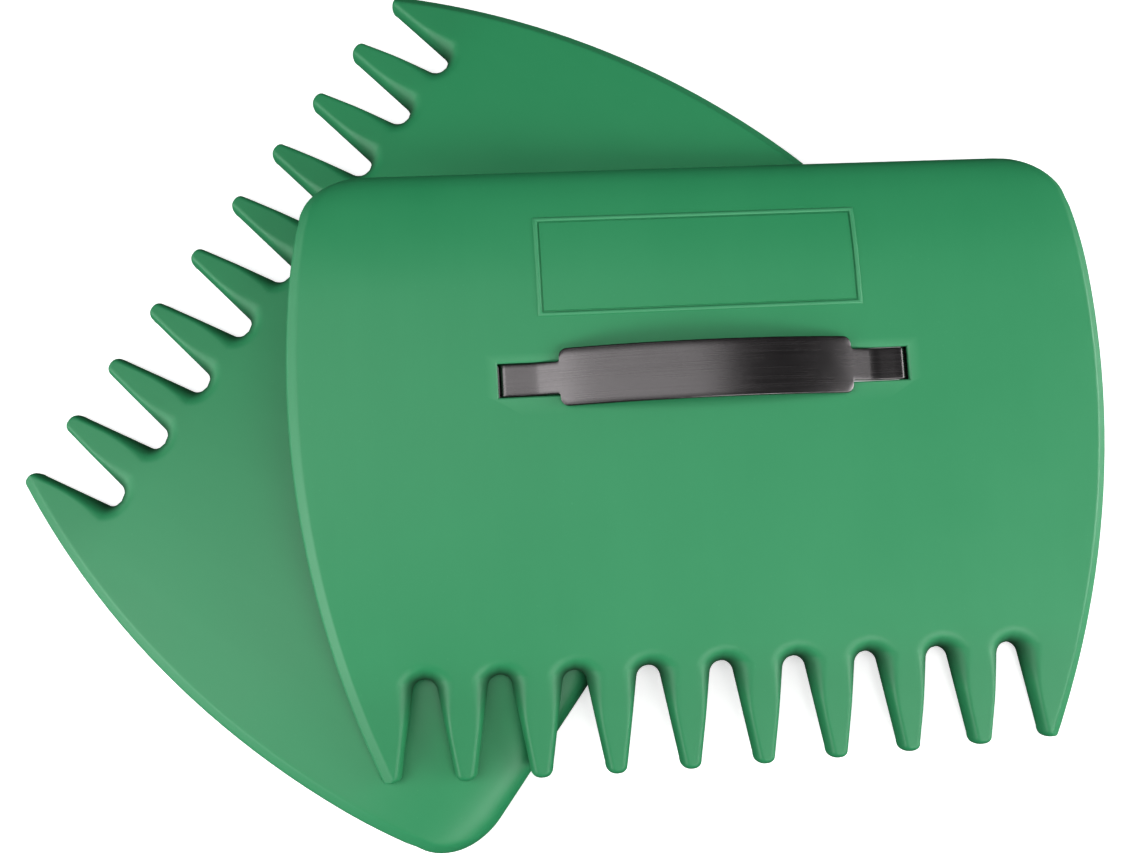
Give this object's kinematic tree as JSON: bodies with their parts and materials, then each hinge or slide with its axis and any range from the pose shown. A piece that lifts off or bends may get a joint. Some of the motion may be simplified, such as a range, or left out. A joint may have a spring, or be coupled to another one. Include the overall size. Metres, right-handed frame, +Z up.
{
  "type": "leaf grabber hands",
  "caption": "Pair of rake-shaped leaf scoops: curved moulded hands with hollow-backed teeth and a hand strap through two slots, one leaning across the other.",
  "frame": {"origin": "on the ground, under the middle of the pair's bounding box", "axes": "+Z up; +X to the right along the width of the upper hand, whose teeth point to -Y, the front"},
  "size_m": [0.4482, 0.3696, 0.0502],
  "materials": {
    "shell": "fine satin green polypropylene",
    "strap": "dark flexible plastic with fine lengthwise brushing"
  },
  "bodies": {
    "lower_hand": {"lower_shell": "shell"},
    "lower_loop": {"lower_strap": "strap"},
    "upper_hand": {"upper_shell": "shell"},
    "upper_loop": {"upper_strap": "strap"}
  },
  "joints": [
    {"name": "lower_strap_play", "type": "slide", "parent": "lower_hand", "child": "lower_loop", "axis": [-0.0318, 0.0244, 0.9992], "range_m": [0, 0.002]},
    {"name": "upper_lift_off", "type": "slide", "parent": "lower_hand", "child": "upper_hand", "axis": [0, 0, 1], "range_m": [0, 0.25]},
    {"name": "upper_strap_play", "type": "slide", "parent": "upper_hand", "child": "upper_loop", "axis": [0.0722, -0.0956, 0.9928], "range_m": [0, 0.002]}
  ]
}
